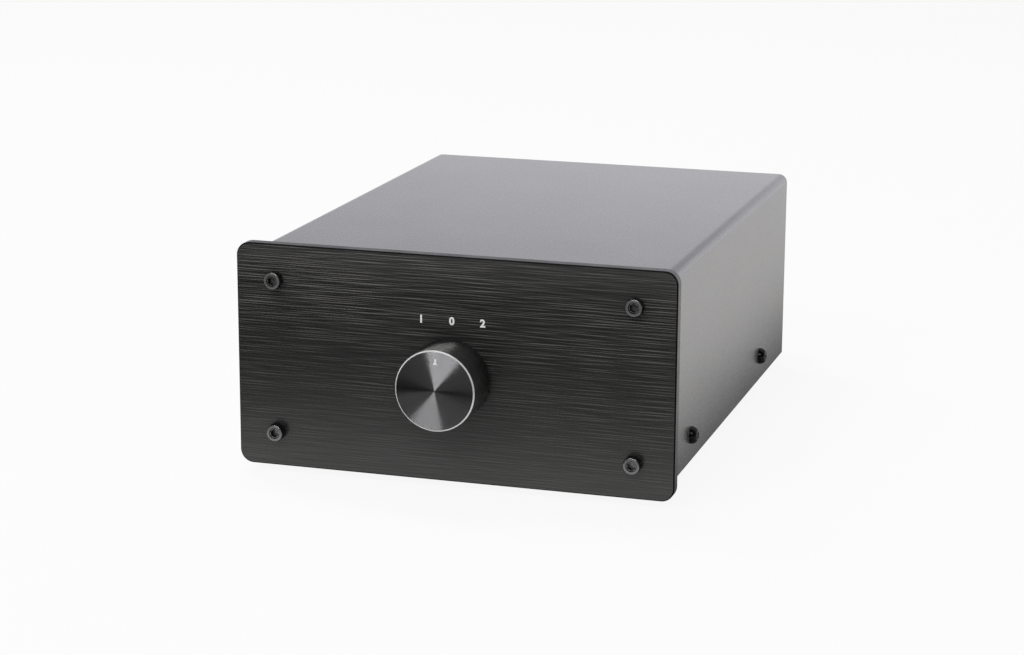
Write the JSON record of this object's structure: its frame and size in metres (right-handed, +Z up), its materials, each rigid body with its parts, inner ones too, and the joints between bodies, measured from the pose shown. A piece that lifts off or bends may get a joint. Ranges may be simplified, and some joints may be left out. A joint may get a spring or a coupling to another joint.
{
  "type": "speaker selector switch",
  "caption": "Flat black case with a thick brushed front panel, a stepped selector knob and rows of red and black binding posts on the back, for switching speakers.",
  "frame": {"origin": "on the floor under the middle of the object's box", "axes": "+Z up, the front panel and knob face -Y, the binding posts point to +Y"},
  "size_m": [0.14, 0.2186, 0.0732],
  "materials": {
    "panel_black": "black anodised, brushed sideways",
    "knob_black": "black anodised, turned face and smooth side",
    "cover_grey": "satin dark grey with a fine texture",
    "tray_black": "satin black with a fine texture",
    "black_steel": "black oxide",
    "zinc_steel": "zinc plated",
    "bright_steel": "ground",
    "switch_casting": "as cast, satin",
    "nylon": "natural nylon",
    "wafer_board": "brown phenolic board",
    "contact_silver": "silver plated",
    "gilt_brass": "gilt, bright",
    "red_plastic": "moulded, semi-gloss",
    "black_plastic": "moulded, semi-gloss",
    "rubber": "moulded black rubber",
    "wire_red": "soft insulation",
    "wire_black": "soft insulation"
  },
  "bodies": {
    "root": {"front_panel": "panel_black", "panel_screws": "black_steel", "panel_nuts": "zinc_steel", "chassis_tray": "tray_black", "top_cover": "cover_grey", "cover_screws": "black_steel", "feet": "rubber", "foot_screws": "black_steel", "press_nuts": "zinc_steel", "switch_bushing": "switch_casting", "switch_washer": "zinc_steel", "switch_nut": "zinc_steel", "detent_housing": "switch_casting", "detent_balls": "bright_steel", "detent_springs": "bright_steel", "tie_screws": "zinc_steel", "tie_nuts": "zinc_steel", "wafer_spacers": "nylon", "wafer_front": "wafer_board", "wafer_rear": "wafer_board", "wafer_lugs": "contact_silver", "post_studs": "gilt_brass", "post_collars_red": "red_plastic", "post_collars_black": "black_plastic", "post_bushes": "black_plastic", "post_nuts": "gilt_brass", "solder_tags": "contact_silver", "wires_red": "wire_red", "wires_black": "wire_black"},
    "selector": {"knob": "knob_black", "knob_grub_screw": "black_steel", "switch_shaft": "bright_steel", "shaft_clip": "bright_steel", "detent_wheel": "nylon", "rotors": "nylon", "rotor_blades": "contact_silver"},
    "insert_black_1": {"cap_insert_black_1": "gilt_brass"},
    "cap_black_1": {"post_cap_black_1": "black_plastic"},
    "insert_black_2": {"cap_insert_black_2": "gilt_brass"},
    "cap_black_2": {"post_cap_black_2": "black_plastic"},
    "insert_black_3": {"cap_insert_black_3": "gilt_brass"},
    "cap_black_3": {"post_cap_black_3": "black_plastic"},
    "insert_black_4": {"cap_insert_black_4": "gilt_brass"},
    "cap_black_4": {"post_cap_black_4": "black_plastic"},
    "insert_black_5": {"cap_insert_black_5": "gilt_brass"},
    "cap_black_5": {"post_cap_black_5": "black_plastic"},
    "insert_black_6": {"cap_insert_black_6": "gilt_brass"},
    "cap_black_6": {"post_cap_black_6": "black_plastic"},
    "insert_red_1": {"cap_insert_red_1": "gilt_brass"},
    "cap_red_1": {"post_cap_red_1": "red_plastic"},
    "insert_red_2": {"cap_insert_red_2": "gilt_brass"},
    "cap_red_2": {"post_cap_red_2": "red_plastic"},
    "insert_red_3": {"cap_insert_red_3": "gilt_brass"},
    "cap_red_3": {"post_cap_red_3": "red_plastic"},
    "insert_red_4": {"cap_insert_red_4": "gilt_brass"},
    "cap_red_4": {"post_cap_red_4": "red_plastic"},
    "insert_red_5": {"cap_insert_red_5": "gilt_brass"},
    "cap_red_5": {"post_cap_red_5": "red_plastic"},
    "insert_red_6": {"cap_insert_red_6": "gilt_brass"},
    "cap_red_6": {"post_cap_red_6": "red_plastic"}
  },
  "joints": [
    {"name": "knob_turn", "type": "hinge", "parent": "root", "child": "selector", "pos_m": [0, -0.09275, 0.0355], "axis": [0, -1, 0], "range_deg": [-30, 30]},
    {"name": "cap_black_1_out", "type": "slide", "parent": "root", "child": "insert_black_1", "axis": [0, 1, 0], "range_m": [0, 0.004]},
    {"name": "cap_black_1_turn", "type": "hinge", "parent": "insert_black_1", "child": "cap_black_1", "pos_m": [-0.04763, 0.09925, 0.0265], "axis": [0, 1, 0], "range_deg": [0, 1440]},
    {"name": "cap_black_2_out", "type": "slide", "parent": "root", "child": "insert_black_2", "axis": [0, 1, 0], "range_m": [0, 0.004]},
    {"name": "cap_black_2_turn", "type": "hinge", "parent": "insert_black_2", "child": "cap_black_2", "pos_m": [-0.02857, 0.09925, 0.0265], "axis": [0, 1, 0], "range_deg": [0, 1440]},
    {"name": "cap_black_3_out", "type": "slide", "parent": "root", "child": "insert_black_3", "axis": [0, 1, 0], "range_m": [0, 0.004]},
    {"name": "cap_black_3_turn", "type": "hinge", "parent": "insert_black_3", "child": "cap_black_3", "pos_m": [-0.00953, 0.09925, 0.0265], "axis": [0, 1, 0], "range_deg": [0, 1440]},
    {"name": "cap_black_4_out", "type": "slide", "parent": "root", "child": "insert_black_4", "axis": [0, 1, 0], "range_m": [0, 0.004]},
    {"name": "cap_black_4_turn", "type": "hinge", "parent": "insert_black_4", "child": "cap_black_4", "pos_m": [0.00953, 0.09925, 0.0265], "axis": [0, 1, 0], "range_deg": [0, 1440]},
    {"name": "cap_black_5_out", "type": "slide", "parent": "root", "child": "insert_black_5", "axis": [0, 1, 0], "range_m": [0, 0.004]},
    {"name": "cap_black_5_turn", "type": "hinge", "parent": "insert_black_5", "child": "cap_black_5", "pos_m": [0.02857, 0.09925, 0.0265], "axis": [0, 1, 0], "range_deg": [0, 1440]},
    {"name": "cap_black_6_out", "type": "slide", "parent": "root", "child": "insert_black_6", "axis": [0, 1, 0], "range_m": [0, 0.004]},
    {"name": "cap_black_6_turn", "type": "hinge", "parent": "insert_black_6", "child": "cap_black_6", "pos_m": [0.04763, 0.09925, 0.0265], "axis": [0, 1, 0], "range_deg": [0, 1440]},
    {"name": "cap_red_1_out", "type": "slide", "parent": "root", "child": "insert_red_1", "axis": [0, 1, 0], "range_m": [0, 0.004]},
    {"name": "cap_red_1_turn", "type": "hinge", "parent": "insert_red_1", "child": "cap_red_1", "pos_m": [-0.04763, 0.09925, 0.04555], "axis": [0, 1, 0], "range_deg": [0, 1440]},
    {"name": "cap_red_2_out", "type": "slide", "parent": "root", "child": "insert_red_2", "axis": [0, 1, 0], "range_m": [0, 0.004]},
    {"name": "cap_red_2_turn", "type": "hinge", "parent": "insert_red_2", "child": "cap_red_2", "pos_m": [-0.02857, 0.09925, 0.04555], "axis": [0, 1, 0], "range_deg": [0, 1440]},
    {"name": "cap_red_3_out", "type": "slide", "parent": "root", "child": "insert_red_3", "axis": [0, 1, 0], "range_m": [0, 0.004]},
    {"name": "cap_red_3_turn", "type": "hinge", "parent": "insert_red_3", "child": "cap_red_3", "pos_m": [-0.00953, 0.09925, 0.04555], "axis": [0, 1, 0], "range_deg": [0, 1440]},
    {"name": "cap_red_4_out", "type": "slide", "parent": "root", "child": "insert_red_4", "axis": [0, 1, 0], "range_m": [0, 0.004]},
    {"name": "cap_red_4_turn", "type": "hinge", "parent": "insert_red_4", "child": "cap_red_4", "pos_m": [0.00953, 0.09925, 0.04555], "axis": [0, 1, 0], "range_deg": [0, 1440]},
    {"name": "cap_red_5_out", "type": "slide", "parent": "root", "child": "insert_red_5", "axis": [0, 1, 0], "range_m": [0, 0.004]},
    {"name": "cap_red_5_turn", "type": "hinge", "parent": "insert_red_5", "child": "cap_red_5", "pos_m": [0.02857, 0.09925, 0.04555], "axis": [0, 1, 0], "range_deg": [0, 1440]},
    {"name": "cap_red_6_out", "type": "slide", "parent": "root", "child": "insert_red_6", "axis": [0, 1, 0], "range_m": [0, 0.004]},
    {"name": "cap_red_6_turn", "type": "hinge", "parent": "insert_red_6", "child": "cap_red_6", "pos_m": [0.04763, 0.09925, 0.04555], "axis": [0, 1, 0], "range_deg": [0, 1440]}
  ],
  "couplings": [
    {"joint": "cap_black_1_turn", "follows": "cap_black_1_out", "rad_per_m": 6283.2},
    {"joint": "cap_black_2_turn", "follows": "cap_black_2_out", "rad_per_m": 6283.2},
    {"joint": "cap_black_3_turn", "follows": "cap_black_3_out", "rad_per_m": 6283.2},
    {"joint": "cap_black_4_turn", "follows": "cap_black_4_out", "rad_per_m": 6283.2},
    {"joint": "cap_black_5_turn", "follows": "cap_black_5_out", "rad_per_m": 6283.2},
    {"joint": "cap_black_6_turn", "follows": "cap_black_6_out", "rad_per_m": 6283.2},
    {"joint": "cap_red_1_turn", "follows": "cap_red_1_out", "rad_per_m": 6283.2},
    {"joint": "cap_red_2_turn", "follows": "cap_red_2_out", "rad_per_m": 6283.2},
    {"joint": "cap_red_3_turn", "follows": "cap_red_3_out", "rad_per_m": 6283.2},
    {"joint": "cap_red_4_turn", "follows": "cap_red_4_out", "rad_per_m": 6283.2},
    {"joint": "cap_red_5_turn", "follows": "cap_red_5_out", "rad_per_m": 6283.2},
    {"joint": "cap_red_6_turn", "follows": "cap_red_6_out", "rad_per_m": 6283.2}
  ]
}
